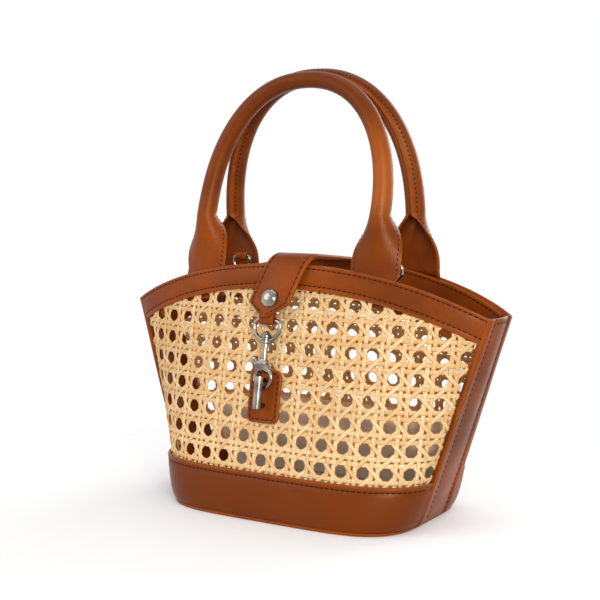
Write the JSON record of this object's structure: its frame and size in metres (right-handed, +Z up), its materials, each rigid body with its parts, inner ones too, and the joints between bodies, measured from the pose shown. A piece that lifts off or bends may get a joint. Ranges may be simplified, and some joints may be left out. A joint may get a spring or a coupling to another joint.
{
  "type": "rattan tote bag",
  "caption": "Small tote bag with woven open cane walls in a leather frame, rolled leather handles and a closure strap with a swivel snap hook on a bar.",
  "frame": {"origin": "middle of the base, on the surface the bag stands on", "axes": "+Z up, -Y towards the front with the snap hook, +X to the right seen from the front"},
  "size_m": [0.2336, 0.1046, 0.2481],
  "materials": {
    "cognac_leather": "smooth, semi-matt",
    "rattan_cane": "natural split cane",
    "grey_cloth": "plain weave",
    "nickel": "polished nickel"
  },
  "bodies": {
    "bag": {"front_cane_panel": "rattan_cane", "rear_cane_panel": "rattan_cane", "front_base_band": "cognac_leather", "rear_base_band": "cognac_leather", "bottom_panel": "cognac_leather", "base_board": "grey_cloth", "rear_lining": "grey_cloth", "left_gusset": "cognac_leather", "right_gusset": "cognac_leather", "front_rim_band": "cognac_leather", "rear_rim_band": "cognac_leather", "front_rim_facing": "cognac_leather", "rear_rim_facing": "cognac_leather", "front_handle": "cognac_leather", "rear_handle": "cognac_leather", "closure_strap": "cognac_leather", "strap_loop": "cognac_leather", "strap_stud": "nickel", "stud_washer": "nickel", "bar_patch": "cognac_leather", "closure_bar": "nickel", "left_ring_loop": "cognac_leather", "right_ring_loop": "cognac_leather"},
    "clasp_eye": {"clasp_eye": "nickel"},
    "clasp_hook": {"clasp_hook": "nickel", "gate_pin": "nickel", "gate_spring": "nickel"},
    "clasp_gate": {"clasp_gate": "nickel"},
    "left_ring": {"left_ring": "nickel"},
    "right_ring": {"right_ring": "nickel"}
  },
  "joints": [
    {"name": "eye_swing", "type": "hinge", "parent": "bag", "child": "clasp_eye", "pos_m": [-0.006, -0.0378, 0.10927], "axis": [1, 0, 0], "range_deg": [-1.5, 0.8]},
    {"name": "hook_swivel", "type": "hinge", "parent": "clasp_eye", "child": "clasp_hook", "pos_m": [-0.006, -0.04317, 0.07813], "axis": [0, 0.1697, 0.9855], "range_deg": [-6, 6]},
    {"name": "gate_pivot", "type": "hinge", "parent": "clasp_hook", "child": "clasp_gate", "pos_m": [-0.0094, -0.04208, 0.08444], "axis": [0, -0.9855, 0.1697], "range_deg": [0, 14], "stiffness_Nm_per_rad": 0.005, "springref_deg": -11.46},
    {"name": "left_ring_swing", "type": "hinge", "parent": "bag", "child": "left_ring", "pos_m": [-0.058, 0.01298, 0.14031], "axis": [0.9936, 0.1133, 0], "range_deg": [-150, 15]},
    {"name": "right_ring_swing", "type": "hinge", "parent": "bag", "child": "right_ring", "pos_m": [0.058, -0.01298, 0.14031], "axis": [-0.9936, -0.1133, 0], "range_deg": [-150, 15]}
  ]
}
